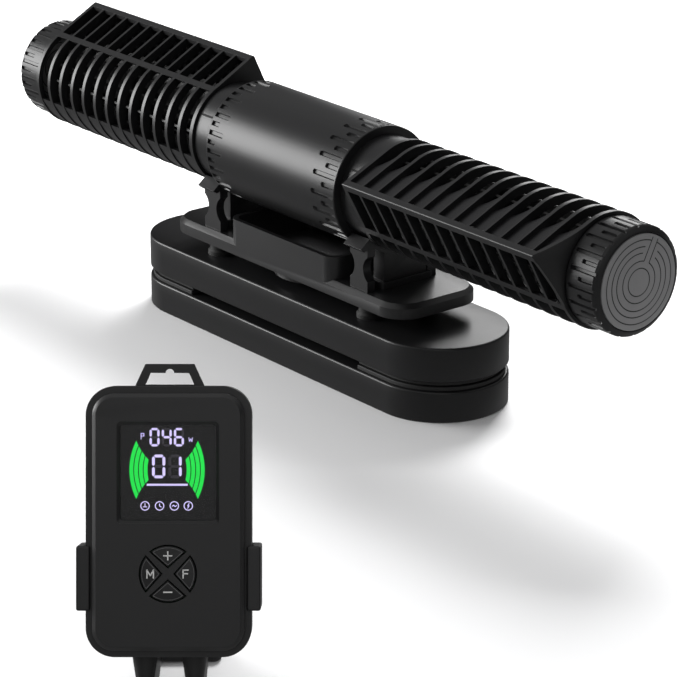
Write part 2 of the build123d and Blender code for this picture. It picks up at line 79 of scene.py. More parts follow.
def dressStudio(floorMaterial):
    bm = bmesh.new()
    bmesh.ops.create_grid(bm, x_segments=1, y_segments=1, size=studio["floorSize"] / 2)
    mesh = bpy.data.meshes.new("studioFloor")
    bm.to_mesh(mesh)
    bm.free()
    mesh.materials.append(floorMaterial)
    floor = bpy.data.objects.new("studioFloor", mesh)
    bpy.context.scene.collection.objects.link(floor)
    floor.visible_glossy = False
    for name, look in softLights.items():
        data = bpy.data.lights.new(name, "AREA")
        data.shape = "RECTANGLE"
        data.size, data.size_y = look["size"]
        data.energy = look["power"]
        lamp = bpy.data.objects.new(name, data)
        lamp.location = look["at"]
        lamp.rotation_euler = (Vector(look["aim"]) - Vector(look["at"])).to_track_quat("-Z", "Y").to_euler()
        bpy.context.scene.collection.objects.link(lamp)
        lamp.visible_camera = False
        lamp.visible_glossy = look["gloss"]
    world = bpy.data.worlds.new("studioWorld")
    world.use_nodes = True
    nodes, links = world.node_tree.nodes, world.node_tree.links
    sky = nodes["Background"]
    place = nodes.new("ShaderNodeTexCoord")
    height = nodes.new("ShaderNodeSeparateXYZ")
    ramp = nodes.new("ShaderNodeValToRGB")
    ramp.color_ramp.elements[0].color = studio["groundColor"]
    ramp.color_ramp.elements[1].position = studio["brightFrom"]
    ramp.color_ramp.elements[1].color = studio["brightColor"]
    for edge in ("dimFrom", "dimUpTo"):
        ramp.color_ramp.elements.new(studio[edge]).color = studio["dimColor"]
    links.new(place.outputs["Generated"], height.inputs[0])
    links.new(height.outputs["Z"], ramp.inputs["Fac"])
    links.new(ramp.outputs["Color"], sky.inputs["Color"])
    sky.inputs["Strength"].default_value = studio["worldPower"]
    bpy.context.scene.world = world
    bpy.context.scene.view_settings.view_transform = "Standard"


# materials
def mouldedSkinGroup():
    group = bpy.data.node_groups.new("mouldedSkin", "ShaderNodeTree")
    face = group.interface
    for name, kind, start in (
        ("Base", "NodeSocketColor", (0.02, 0.02, 0.02, 1)),
        ("Roughness", "NodeSocketFloat", 0.4),
        ("Grain Size", "NodeSocketFloat", 2500.0),
        ("Grain Depth", "NodeSocketFloat", 0.1),
        ("Unevenness", "NodeSocketFloat", 0.06),
        ("Shade Change", "NodeSocketFloat", 0.3),
    ):
        socket = face.new_socket(name, in_out="INPUT", socket_type=kind)
        socket.default_value = start
    for name, kind in (("Color", "Color"), ("Roughness", "Float"), ("Normal", "Vector")):
        face.new_socket(name, in_out="OUTPUT", socket_type="NodeSocket" + kind)
    nodes, links = group.nodes, group.links
    given = nodes.new("NodeGroupInput")
    out = nodes.new("NodeGroupOutput")
    place = nodes.new("ShaderNodeTexCoord")

    grain = nodes.new("ShaderNodeTexNoise")
    grain.inputs["Detail"].default_value = 3
    grain.inputs["Roughness"].default_value = 0.6
    links.new(place.outputs["Object"], grain.inputs["Vector"])
    links.new(given.outputs["Grain Size"], grain.inputs["Scale"])

    cloud = nodes.new("ShaderNodeTexNoise")
    cloud.inputs["Scale"].default_value = 38
    cloud.inputs["Detail"].default_value = 5
    links.new(place.outputs["Object"], cloud.inputs["Vector"])

    bump = nodes.new("ShaderNodeBump")
    bump.inputs["Distance"].default_value = 0.00006
    links.new(given.outputs["Grain Depth"], bump.inputs["Strength"])
    links.new(grain.outputs["Fac"], bump.inputs["Height"])
    links.new(bump.outputs["Normal"], out.inputs["Normal"])

    centred = nodes.new("ShaderNodeMath")
    centred.operation = "SUBTRACT"
    centred.inputs[1].default_value = 0.5
    links.new(cloud.outputs["Fac"], centred.inputs[0])
    rough = nodes.new("ShaderNodeMath")
    rough.operation = "MULTIPLY_ADD"
    links.new(centred.outputs[0], rough.inputs[0])
    links.new(given.outputs["Unevenness"], rough.inputs[1])
    links.new(given.outputs["Roughness"], rough.inputs[2])
    links.new(rough.outputs[0], out.inputs["Roughness"])

    shade = nodes.new("ShaderNodeMath")
    shade.operation = "MULTIPLY_ADD"
    shade.inputs[2].default_value = 1.0
    links.new(given.outputs["Shade Change"], shade.inputs[1])
    links.new(centred.outputs[0], shade.inputs[0])
    tint = nodes.new("ShaderNodeVectorMath")
    tint.operation = "SCALE"
    links.new(given.outputs["Base"], tint.inputs[0])
    links.new(shade.outputs[0], tint.inputs["Scale"])
    links.new(tint.outputs[0], out.inputs["Color"])
    return group


mouldedSkin = mouldedSkinGroup()

finishes = {
    "satinBlack": dict(color=(0.008, 0.008, 0.0085), rough=0.36, grain=3200,
                       depth=0.10, uneven=0.05, gloss=0.33),
    "housingBlack": dict(color=(0.0075, 0.0075, 0.008), rough=0.36, grain=3200,
                         depth=0.10, uneven=0.05, gloss=0.33),
    "cageBlack": dict(color=(0.006, 0.006, 0.0065), rough=0.4, grain=2600,
                      depth=0.16, uneven=0.06, gloss=0.4),
    "bracketBlack": dict(color=(0.009, 0.009, 0.0095), rough=0.38, grain=3000,
                         depth=0.12, uneven=0.06, gloss=0.45),
    "capGrey": dict(color=(0.16, 0.16, 0.162), rough=0.42, grain=3000, depth=0.12, uneven=0.05),
    "rubberBlack": dict(color=(0.006, 0.006, 0.006), rough=0.62, grain=1800, depth=0.3, uneven=0.1),
    "shellBlack": dict(color=(0.012, 0.012, 0.0125), rough=0.40, grain=3400,
                       depth=0.14, uneven=0.05, gloss=0.4),
    "buttonBlack": dict(color=(0.007, 0.007, 0.0075), rough=0.45, grain=3000,
                        depth=0.1, uneven=0.05, gloss=0.4),
    "displayBlack": dict(color=(0.004, 0.004, 0.005), rough=0.25, grain=3000, depth=0.0, uneven=0.03),
    "leadBlack": dict(color=(0.008, 0.008, 0.008), rough=0.5, grain=2200, depth=0.12, uneven=0.08),
    "impellerDark": dict(color=(0.006, 0.006, 0.006), rough=0.35, grain=2500, depth=0.1, uneven=0.05),
    "magnetNickel": dict(color=(0.5, 0.5, 0.5), rough=0.25, grain=900, depth=0.05, uneven=0.08, metal=1),
    "steelBright": dict(color=(0.6, 0.6, 0.6), rough=0.3, grain=700, depth=0.06, uneven=0.1, metal=1),
    "copperWire": dict(color=(0.75, 0.33, 0.14), rough=0.35, grain=500, depth=0.4, uneven=0.1, metal=1),
    "ceramicWhite": dict(color=(0.75, 0.74, 0.71), rough=0.22, grain=2000, depth=0.05, uneven=0.04),
    "boardGreen": dict(color=(0.01, 0.10, 0.035), rough=0.35, grain=900, depth=0.1, uneven=0.08),
    "printGrey": dict(color=(0.66, 0.66, 0.65), rough=0.5, grain=2500, depth=0.1, uneven=0.05),
    # painted highlight: grey for the light caught by the buttons' raised edges
    "rimHighlightGrey": dict(color=(0.085, 0.085, 0.087), rough=0.45, grain=2500, depth=0.05, uneven=0.05),
    # painted shade: matte near-black for the strip laid where the neck's groove lies in shade
    "grooveShadeBlack": dict(color=(0.002, 0.002, 0.002), rough=0.8, grain=2000, depth=0.1, uneven=0.05),
}
glows = {
    "digitGlow": dict(color=(0.70, 0.62, 1.0), power=0.95),
    "greenGlow": dict(color=(0.01, 0.72, 0.07), power=1.0),
    "unlitSegment": dict(color=(0.06, 0.055, 0.07), power=0.15),
}


def mouldedMaterial(name, look):
    material = bpy.data.materials.new(name)
    material.use_nodes = True
    nodes, links = material.node_tree.nodes, material.node_tree.links
    shader = nodes["Principled BSDF"]
    skin = nodes.new("ShaderNodeGroup")
    skin.name = "skin"
    skin.node_tree = mouldedSkin
    skin.inputs["Base"].default_value = (*look["color"], 1)
    skin.inputs["Roughness"].default_value = look["rough"]
    skin.inputs["Grain Size"].default_value = look["grain"]
    skin.inputs["Grain Depth"].default_value = look["depth"]
    skin.inputs["Unevenness"].default_value = look["uneven"]
    links.new(skin.outputs["Color"], shader.inputs["Base Color"])
    links.new(skin.outputs["Roughness"], shader.inputs["Roughness"])
    links.new(skin.outputs["Normal"], shader.inputs["Normal"])
    shader.inputs["Metallic"].default_value = look.get("metal", 0)
    shader.inputs["Specular IOR Level"].default_value = look.get("gloss", 0.5)
    return material


def glowMaterial(name, look):
    material = mouldedMaterial(name, dict(color=look["color"], rough=0.4, grain=900, depth=0.0, uneven=0.05))
    nodes, links = material.node_tree.nodes, material.node_tree.links
    shader = nodes["Principled BSDF"]
    links.new(nodes["skin"].outputs["Color"], shader.inputs["Emission Color"])
    shader.inputs["Emission Strength"].default_value = look["power"]
    return material


def windowMaterial():
    look = dict(color=(0.004, 0.004, 0.005), rough=0.12, grain=2500, depth=0.0, uneven=0.05, gloss=0.3)
    material = mouldedMaterial("windowDark", look)
    material.node_tree.nodes["Principled BSDF"].inputs["Alpha"].default_value = 0.14
    material.surface_render_method = "BLENDED"
    return material


def floorMaterial():
    material = bpy.data.materials.new("floorPale")
    material.use_nodes = True
    shader = material.node_tree.nodes["Principled BSDF"]
    shader.inputs["Base Color"].default_value = studio["floorColor"]
    shader.inputs["Roughness"].default_value = studio["floorRoughness"]
    return material


# painted shade: near-black rings drawn on the cap face where its grooves lie in shade; no groove is cut
grooveShadeRings = dict(color=(0.006, 0.006, 0.006, 1), width=0.22, slotTurn=63.7, slotHalf=1.4, slotFrom=7.8,
                 slotTo=17.4, wideHalf=3.4,
                 closedRings=(5.3,), narrowRings=(8.0, 16.0), wideRings=(11.0, 13.4))


def grooveShadeGroup():
    # painted shade: dark rings painted on a flat round face whose centre is on the pump's axis, standing for
    # the shade inside its engraved grooves
    # all but the closed ones open at a slot that runs outwards
    look = grooveShadeRings
    group = bpy.data.node_groups.new("grooveShadeMask", "ShaderNodeTree")
    group.interface.new_socket("Groove Shade", in_out="OUTPUT", socket_type="NodeSocketFloat")
    nodes, links = group.nodes, group.links
    out = nodes.new("NodeGroupOutput")

    def work(operation, *values):
        node = nodes.new("ShaderNodeMath")
        node.operation = operation
        for socket, value in zip(node.inputs, values):
            if isinstance(value, (int, float)):
                socket.default_value = value
            else:
                links.new(value, socket)
        return node.outputs[0]

    place = nodes.new("ShaderNodeTexCoord")
    move = nodes.new("ShaderNodeVectorMath")
    move.operation = "SUBTRACT"
    move.inputs[1].default_value = (0, pumpAxis.y, pumpAxis.z)
    links.new(place.outputs["Object"], move.inputs[0])
    turned = nodes.new("ShaderNodeVectorRotate")
    turned.rotation_type = "X_AXIS"
    turned.inputs["Angle"].default_value = -math.radians(look["slotTurn"])
    links.new(move.outputs[0], turned.inputs["Vector"])
    parts = nodes.new("ShaderNodeSeparateXYZ")
    links.new(turned.outputs[0], parts.inputs[0])
    along = parts.outputs["Y"]
    beside = work("ABSOLUTE", parts.outputs["Z"])
    radius = work("SQRT", work("ADD", work("POWER", along, 2), work("POWER", beside, 2)))
    ahead = work("GREATER_THAN", along, 0.0)

    def ring(size, gap=0):
        line = work("COMPARE", radius, size * mm, look["width"] * mm)
        if not gap:
            return line
        opened = work("MULTIPLY", ahead, work("LESS_THAN", beside, gap * mm))
        return work("MULTIPLY", line, work("SUBTRACT", 1, opened))

    lines = [ring(size) for size in look["closedRings"]]
    lines += [ring(size, look["slotHalf"]) for size in look["narrowRings"]]
    lines += [ring(size, look["wideHalf"]) for size in look["wideRings"]]
    slot = work("COMPARE", beside, look["slotHalf"] * mm, look["width"] * mm)
    slot = work("MULTIPLY", slot, work("GREATER_THAN", along, look["slotFrom"] * mm))
    grooveShade = work("MULTIPLY", slot, work("LESS_THAN", radius, look["slotTo"] * mm))
    for line in lines:
        grooveShade = work("MAXIMUM", grooveShade, line)
    facing = nodes.new("ShaderNodeNewGeometry")
    flat = nodes.new("ShaderNodeSeparateXYZ")
    links.new(facing.outputs["Normal"], flat.inputs[0])
    grooveShade = work("MULTIPLY", grooveShade, work("GREATER_THAN", work("ABSOLUTE", flat.outputs["X"]), 0.9))
    links.new(grooveShade, out.inputs["Groove Shade"])
    return group


def capFaceMaterial():
    material = mouldedMaterial("capFace", finishes["capGrey"])
    nodes, links = material.node_tree.nodes, material.node_tree.links
    shader = nodes["Principled BSDF"]
    grooveShade = nodes.new("ShaderNodeGroup")
    grooveShade.node_tree = grooveShadeGroup()
    blend = nodes.new("ShaderNodeMix")
    blend.data_type = "RGBA"
    # painted shade: the rings take this near-black colour in place of the grooves' shade
    blend.inputs["B"].default_value = grooveShadeRings["color"]
    links.new(grooveShade.outputs["Groove Shade"], blend.inputs["Factor"])
    links.new(nodes["skin"].outputs["Color"], blend.inputs["A"])
    links.new(blend.outputs["Result"], shader.inputs["Base Color"])
    return material


paint = {name: mouldedMaterial(name, look) for name, look in finishes.items()}
paint |= {name: glowMaterial(name, look) for name, look in glows.items()}
paint["windowDark"] = windowMaterial()
paint["capFace"] = capFaceMaterial()
placeCamera()
dressStudio(floorMaterial())
print("camera, studio and materials ready")


# making and placing pieces
def showPiece(bm, name, body, finish, standsFor=(), sharp=32):
    bmesh.ops.recalc_face_normals(bm, faces=bm.faces)
    mesh = bpy.data.meshes.new(name)
    bm.to_mesh(mesh)
    bm.free()
    mesh.materials.append(paint[finish])
    mesh.shade_smooth()
    mesh.set_sharp_from_angle(angle=math.radians(sharp))
    piece = bpy.data.objects.new(name, mesh)
    bpy.context.scene.collection.objects.link(piece)
    if standsFor:
        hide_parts(*standsFor)
    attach(piece, body)
    return piece


def softenEdges(piece, width, segments=2, angle=32):
    bevel = piece.modifiers.new("softEdges", "BEVEL")
    bevel.width = width
    bevel.segments = segments
    bevel.limit_method = "ANGLE"
    bevel.angle_limit = math.radians(angle)
    bevel.harden_normals = True


def roundedCopy(node, body, finish, width, segments=2):
    bm = bmesh.new()
    bm.from_mesh(frame["nodes"][node].data)
    bmesh.ops.remove_doubles(bm, verts=bm.verts, dist=1e-6)
    bmesh.ops.dissolve_limit(bm, angle_limit=0.02, verts=bm.verts, edges=bm.edges)
    piece = showPiece(bm, node + "Shown", body, finish, [node])
    softenEdges(piece, width, segments)
    return piece


def axial(distance, radius, angle):
    # a point round the pump's axis: angle 0 points backwards, 90 up and 180 forwards
    turn = math.radians(angle)
    around = Vector((0, math.cos(turn), math.sin(turn))) * radius
    return Vector((distance * mm, pumpAxis.y + around.y * mm, pumpAxis.z + around.z * mm))


def smooth(low, high, value):
    t = min(1, max(0, (value - low) / (high - low)))
    return t * t * (3 - 2 * t)


def joinRows(bm, rows, closed=True):
    for before, after in zip(rows, rows[1:]):
        count = len(before)
        for i in range(count if closed else count - 1):
            j = (i + 1) % count
            bm.faces.new((before[i], before[j], after[j], after[i]))


def raised(bm, outline, low, high):
    # flat outline drawn at one height and pulled up to another
    foot = bm.faces.new([bm.verts.new((x, y, low)) for x, y in outline])
    grown = bmesh.ops.extrude_face_region(bm, geom=[foot], use_keep_orig=True)["geom"]
    top = [part for part in grown if isinstance(part, bmesh.types.BMFace)]
    bmesh.ops.translate(bm, vec=(0, 0, high - low), verts=top[0].verts)
    return foot, top[0]


def spun(bm, points, centre, axis, steps, closed=False):
    # a line of points turned all the way round an axis
    verts = [bm.verts.new(point) for point in points]
    edges = [bm.edges.new(pair) for pair in zip(verts, verts[1:])]
    if closed:
        edges.append(bm.edges.new((verts[-1], verts[0])))
    bmesh.ops.spin(bm, geom=verts + edges, cent=centre, axis=axis, angle=2 * math.pi, steps=steps,
                   use_merge=True)


# leads
leads = {
    "pump_lead": dict(
        points=[(238.681, -257.772, 16.631), (243.0, -261.2, 1.7), (257, -274, 1.7), (256, -298, 1.7),
                (235, -312, 1.7), (209, -319, 1.7), (194, -341, 1.7), (204, -364, 1.7), (228, -365, 1.7),
                (250, -347, 1.7), (260, -322, 1.7)],
        farEnd="connector", withNodes=["pump_lead_boot", "pump_connector"], length=0.2307),
    "power_lead": dict(
        points=[(248.268, -245.719, 16.631), (252.6, -249.2, 1.7), (271, -260, 1.7), (292, -250, 1.7),
                (296, -225, 1.7), (303, -200, 1.7), (326, -185, 1.7), (349, -191, 1.7), (355, -214, 1.7),
                (341, -236, 1.7), (319, -251, 1.7)],
        farEnd="plug", withNodes=["power_lead_boot", "power_socket"], length=0.2286),
}
leadDiameter = 3.4 * mm


def drawLead(node, route):
    curve = bpy.data.curves.new(node + "Line", "CURVE")
    curve.dimensions = "3D"
    curve.bevel_depth = leadDiameter / 2
    curve.bevel_resolution = 6
    curve.resolution_u = 10
    line = curve.splines.new("NURBS")
    line.points.add(len(route["points"]) - 1)
    for point, place in zip(line.points, route["points"]):
        point.co = (*(Vector(place) * mm), 1)
    line.order_u = 3
    line.use_endpoint_u = True
    curve.materials.append(paint["leadBlack"])
    lead = bpy.data.objects.new(node + "Line", curve)
    bpy.context.scene.collection.objects.link(lead)
    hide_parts(node)
    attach(lead, "base")
    Vector(route["points"][0]) * mm
    [frame["nodes"][name] for name in route["withNodes"]]


for node, route in leads.items():
    drawLead(node, route)
print("leads drawn")


# magnet blocks, pads and bracket
blocks = {
    "outer_magnet_case": dict(body="base", low=0.0, high=12.9),
    "inner_magnet_case": dict(body="mount_unit", low=16.8, high=31.1),
}
blockShape = dict(length=206.0, width=55.2, edge=0.9, foot=0.5, edgeSteps=4, endSteps=48)


def stadium():
    half = blockShape["length"] / 2 - blockShape["width"] / 2
    radius = blockShape["width"] / 2
    outline = []
    for side in (1, -1):
        for step in range(blockShape["endSteps"] + 1):
            turn = math.pi * step / blockShape["endSteps"] - math.pi / 2
            x, y = half + radius * math.cos(turn), radius * math.sin(turn)
            outline.append((side * x * mm, side * y * mm))
    return outline


def bevelRim(bm, face, width, segments):
    bmesh.ops.bevel(bm, geom=list(face.edges), offset=width * mm, segments=segments, profile=0.5,
                    affect="EDGES", material=-1)


for node, look in blocks.items():
    bm = bmesh.new()
    foot, top = raised(bm, stadium(), look["low"] * mm, look["high"] * mm)
    bevelRim(bm, top, blockShape["edge"], blockShape["edgeSteps"])
    bevelRim(bm, foot, blockShape["foot"], 1)
    showPiece(bm, node + "Shown", look["body"], "satinBlack", [node], sharp=50)

mountEdge = 0.35 * mm
roundedCopy("outer_grip_pads", "base", "rubberBlack", mountEdge)
roundedCopy("inner_grip_pads", "mount_unit", "rubberBlack", mountEdge)
for node in ("bracket_plate", "left_saddle_clip", "right_saddle_clip"):
    roundedCopy(node, "mount_unit", "bracketBlack", mountEdge, 3)
print("mount ready")


# motor housing with its engraved scale
housing = dict(half=42.5, radius=24.9, inner=21.0, lip=0.45,
               tickEnd=41.5, tickDepth=0.9, tickHalf=1.0, pitch=9, starts={1: (27.8, 34.0), -1: (32.0, 36.4)},
               plainRows=(9.0, 18.0, 24.0), seat=3)


def tickDepth(across, along, halfWidth):
    reach = abs(across) if along >= halfWidth else math.hypot(across, halfWidth - along)
    return 1 - smooth(halfWidth - 0.22, halfWidth + 0.04, reach)


def tickColumns(pitch, radius, halfWidth):
    # angles with lines along both edges of every mark
    halfTurn = math.degrees(halfWidth / radius)
    offsets = [0, 0.4, 0.72, 0.9, 1.04, 1.2]
    around = sorted({sign * offset * halfTurn for offset in offsets for sign in (-1, 1)} | {pitch / 2})
    return [mark * pitch + offset for mark in range(round(360 / pitch)) for offset in around]


def buildHousing():
    bm = bmesh.new()
    h = housing
    fine = [-0.35, -0.1, 0.05, 0.15, 0.3, 0.5, 0.75, 1.05, 1.5]
    columns = tickColumns(h["pitch"], h["radius"], h["tickHalf"])
    rows = []
    profile = []
    for side in (-1, 1):
        long, short = h["starts"][side]
        along = [0.0] if side > 0 else []
        along += [*h["plainRows"]] + [long + f for f in fine] + [short + f for f in fine]
        along += [short + 3.5, h["tickEnd"] - 0.12, h["tickEnd"] + 0.08, h["half"] - h["lip"] - 0.05]
        half = [(side * a, h["radius"]) for a in sorted(along)]
        for step in range(5):
            turn = math.pi / 2 * step / 4
            half.append((side * (h["half"] - h["lip"] + h["lip"] * math.sin(turn)),
                         h["radius"] - h["lip"] + h["lip"] * math.cos(turn)))
        half.append((side * h["half"], h["inner"]))
        half.append((side * (h["half"] - h["seat"]), h["inner"]))
        profile = profile + half if side > 0 else list(reversed(half))
    for distance, radius in profile:
        starts = h["starts"][1 if distance > 0 else -1]
        row = []
        for angle in columns:
            depth = 0
            if abs(distance) < h["tickEnd"]:
                mark = round(angle / h["pitch"])
                across = math.radians(angle - mark * h["pitch"]) * h["radius"]
                along = abs(distance) - starts[mark % 2]
                depth = h["tickDepth"] * tickDepth(across, along, h["tickHalf"])
            row.append(bm.verts.new(axial(distance, radius - depth, angle)))
        rows.append(row)
    joinRows(bm, rows)
    showPiece(bm, "housingShown", "motor", "housingBlack", ["motor_housing"], sharp=38)


buildHousing()
print("housing ready")


# flow cages
cage = dict(start=55.5, end=173.0, radius=22.6, corner=33.0, rounding=0.9, vane=3.6, count=13, rib=1.8,
            barInset=0.15)
endSlope = {"left": 0.0, "right": 7.0}
cornerTurn = {"left": 72.0, "right": 161.7}
tangentTurn = math.acos(cage["radius"] / cage["corner"])
flatLength = cage["radius"] * math.tan(tangentTurn)
halfRound = flatLength + (math.pi - tangentTurn) * cage["radius"]


def flatPoint(s, inset):
    # across the pump, s mm round the skin from the outlet's corner
    # plus runs over the mouth, minus over the closed side
    radius = cage["radius"] - inset
    sign = 1 if s >= 0 else -1
    reach = abs(s)
    if reach > flatLength:
        turn = tangentTurn + (reach - flatLength) / cage["radius"]
        return Vector((radius * math.cos(turn), sign * radius * math.sin(turn)))
    along = reach * radius / cage["radius"]
    tip = radius / math.cos(tangentTurn)
    return Vector((tip - along * math.sin(tangentTurn), sign * along * math.cos(tangentTurn)))


def skinPoint(s, inset=0.0):
    rounding = cage["rounding"]
    if abs(s) >= rounding:
        return flatPoint(s, inset)
    t = (s + rounding) / (2 * rounding)
    first, tip, last = (flatPoint(v, inset) for v in (-rounding, 0, rounding))
    return first * (1 - t) ** 2 + tip * 2 * t * (1 - t) + last * t * t


def endReach(s, slope):
    # how far out the cage goes at s: its end wall can slope back towards the outlet's corner
    past = (skinPoint(s).length - cage["radius"]) / (cage["corner"] - cage["radius"])
    return cage["end"] - slope * max(0.0, past)


def skinSteps(low, high, arcStep=1.9, flatStep=3.2):
    # positions round the skin, close together where it curves
    stops = {low, high, -flatLength, flatLength}
    stops |= {cage["rounding"] * part for part in (-1, -0.5, 0, 0.5, 1)}
    stops = {s for s in stops if low <= s <= high}
    ordered = sorted(stops)
    out = []
    for a, b in zip(ordered, ordered[1:]):
        step = flatStep if abs(a + b) / 2 < flatLength else arcStep
        pieces = max(1, round((b - a) / step))
        out += [a + (b - a) * i / pieces for i in range(pieces)]
    return out + [ordered[-1]]


def slab(bm, top, bottom):
    # closed solid between two grids of points with the same layout
    grids = [[[bm.verts.new(p) for p in row] for row in grid] for grid in (top, bottom)]
    for grid in grids:
        joinRows(bm, grid, closed=False)
    for end in (0, -1):
        joinRows(bm, [grid[end] for grid in grids], closed=False)
        joinRows(bm, [[row[end] for row in grid] for grid in grids], closed=False)


def ribWidth(s):
    # ribs are thicker over the intake, away from the outlet's corner
    if s < 0:
        return 1.15 + 0.7 * smooth(15, 26, -s)
    return 1.35 + 0.5 * smooth(21, 27, s)


def cagePitch():
    return (cage["end"] - cage["start"] - cage["rib"]) / cage["count"]


def buildRibs(bm, place):
    for count in range(1, cage["count"]):
        middle = cage["start"] + count * cagePitch() + cage["rib"] / 2
        rows = [[], [], [], []]
        for s in skinSteps(-halfRound, halfRound)[:-1]:
            outer = skinPoint(s)
            inner = skinPoint(s, cage["vane"])
            half = ribWidth(s) / 2
            section = ((outer, -half), (outer, half), (inner, half), (inner, -half))
            for row, (spot, shift) in zip(rows, section):
                row.append(bm.verts.new(place(middle + shift, spot)))
        joinRows(bm, rows + [rows[0]])


# bars along the cage: where they start and stop round the skin, how far they sink and how thick they are
bars = {
    "corner": dict(low=-3.0, high=3.0, sink=-0.07, depth=1.7, foot=0.66, arcStep=0.8),
    "mouthEdge": dict(low=flatLength - 1.9, high=flatLength + 0.9, sink=-0.07, depth=1.7, foot=0.66,
                      arcStep=0.8),
    "mouthRail": dict(low=56.1, high=58.4, sink=0.3, depth=1.8, foot=0.66, arcStep=0.8),
    "closedRail": dict(low=-60.9, high=-58.6, sink=0.3, depth=1.8, foot=0.66, arcStep=0.8),
    "closedBand": dict(low=57.4, high=2 * halfRound - 59.6, sink=0.42, depth=1.6, foot=1, arcStep=1.9),
}


def buildBars(bm, place, slope):
    for look in bars.values():
        middle = (look["low"] + look["high"]) / 2
        top, bottom = [], []
        for s in skinSteps(look["low"], look["high"], arcStep=look["arcStep"]):
            ends = (cage["start"] + cage["barInset"], endReach(s, slope) - cage["barInset"])
            undercut = middle + (s - middle) * look["foot"]
            top.append([place(x, skinPoint(s, look["sink"])) for x in ends])
            bottom.append([place(x, skinPoint(undercut, look["sink"] + look["depth"])) for x in ends])
        slab(bm, top, bottom)


# the closed side is a row of louvres that sink away behind each rib and sweep into the intake
louvre = dict(first=2.4, past=0.4, steps=30, columns=8, overlap=0.1, wallGap=0.3,
              sink=0.12, recess=1.7, curl=1.7, thick=1.3,
              sweepFrom=15.0, sweepPast=1.2, curlFrom=13.0, curlTo=19.0)


def buildLouvres(bm, place, slope):
    look = louvre
    for count in range(cage["count"]):
        first = cage["start"] + count * cagePitch() + cage["rib"] / 2
        top, bottom = [], []
        for step in range(look["steps"] + 1):
            s = -look["first"] - (flatLength - look["first"] + look["past"]) * step / look["steps"]
            half = ribWidth(s) / 2
            low = first + half - look["overlap"]
            high = min(first + cagePitch() - half + look["overlap"], endReach(s, slope) - look["wallGap"])
            swept = smooth(look["sweepFrom"], flatLength + look["sweepPast"], -s)
            curl = smooth(look["curlFrom"], look["curlTo"], -s)
            upperRow, lowerRow = [], []
            for column in range(look["columns"] + 1):
                t = column / look["columns"]
                u = swept + (1 - swept) * t
                sink = look["sink"] + look["recess"] * (1 - u) + look["curl"] * curl * (1 - t) ** 3
                x = low + (high - low) * u
                upperRow.append(place(x, skinPoint(s, sink)))
                lowerRow.append(place(x, skinPoint(s, sink + look["thick"])))
            top.append(upperRow)
            bottom.append(lowerRow)
        slab(bm, top, bottom)


endWalls = dict(outerSeat=22.0, outerBore=20.6, outerThick=1.9, innerBore=16.4, innerThick=2.0,
                bend=(0.62, 0.55))


def buildEndWalls(bm, place, slope):
    # the outer wall can slope at the corner; the inner one is flat
    look = endWalls
    bendAlong, bendInwards = look["bend"]
    outerWall, innerWall = ([], []), ([], [])
    for s in skinSteps(-halfRound, halfRound):
        skin = skinPoint(s)
        out = skin.normalized()
        seat = out * look["outerSeat"]
        reach = endReach(s, slope)
        line = [(reach, skin), (reach + (cage["end"] - reach) * bendAlong, skin.lerp(seat, bendInwards)),
                (cage["end"], seat), (cage["end"], out * look["outerBore"])]
        for side, shift in zip(outerWall, (0, -look["outerThick"])):
            side.append([place(x + shift, spot) for x, spot in line])
        for side, shift in zip(innerWall, (0, look["innerThick"])):
            side.append([place(cage["start"] + shift, spot) for spot in (skin, out * look["innerBore"])])
    slab(bm, *outerWall)
    slab(bm, *innerWall)


sleeve = dict(low=-6.4, high=1.0, bore=16.4, radius=18.3, steps=72)


def buildSleeve(bm, side):
    # the neck that turns on the motor housing
    low, high = cage["start"] + sleeve["low"], cage["start"] + sleeve["high"]
    bore, radius = sleeve["bore"], sleeve["radius"]
    section = ((low, bore), (low, radius), (high, radius), (high, bore))
    spun(bm, [axial(side * x, r, 0) for x, r in section], pumpAxis, (1, 0, 0), sleeve["steps"], closed=True)


def buildCage(name):
    side, turn, slope = sides[name], cornerTurn[name], endSlope[name]
    bm = bmesh.new()

    def place(distance, spot):
        return axial(side * distance, spot.length, turn + math.degrees(math.atan2(spot.y, spot.x)))

    buildRibs(bm, place)
    buildBars(bm, place, slope)
    buildLouvres(bm, place, slope)
    buildEndWalls(bm, place, slope)
    buildSleeve(bm, side)
    bmesh.ops.remove_doubles(bm, verts=bm.verts, dist=1e-7)
    node = name + "_cage"
    piece = showPiece(bm, name + "CageShown", node, "cageBlack", [node], sharp=35)
    softenEdges(piece, 0.22 * mm, 2, 38)


for name in sides:
    buildCage(name)
print("cages ready")


# end caps with gripping grooves and a face whose engraved rings are painted shade
cap = dict(start=173.3, radius=21.3, depth=0.95, half=0.8, pitch=9, long=(174.3, 188.3), short=(179.6, 187.3),
           inner=[(0, 19.0), (0, 20.8), (0.15, 21.15), (0.5, 21.3)],
           rim=[(187.6, 21.2), (187.9, 21.0), (188.1, 20.8), (188.3, 20.55), (188.6, 20.1), (189.0, 19.6),
                (189.3, 19.1), (189.4, 18.75), (188.4, 18.6)],
           disc=[(188.0, 18.4), (189.3, 18.4), (189.52, 18.3), (189.6, 18.1)], discSteps=120)
grooveRows = (0.0, 0.15, 0.3, 0.5, 0.8, 1.2)


def capProfile():
    # rows of points close together where a groove starts or stops
    distances = [cap["long"][0] + row for row in (*grooveRows, 3.0)]
    distances += [cap["short"][0] + row for row in (*grooveRows, 4.0)]
    distances += [cap["short"][1] - row for row in reversed(grooveRows)]
    start = [(cap["start"] + along, radius) for along, radius in cap["inner"]]
    return start + [(distance, cap["radius"]) for distance in distances] + cap["rim"]


def grooveDepth(across, distance, reach):
    low, high = reach
    if not low <= distance <= high:
        return 0
    inward = min(distance - low, high - distance)
    return tickDepth(across, inward, cap["half"])


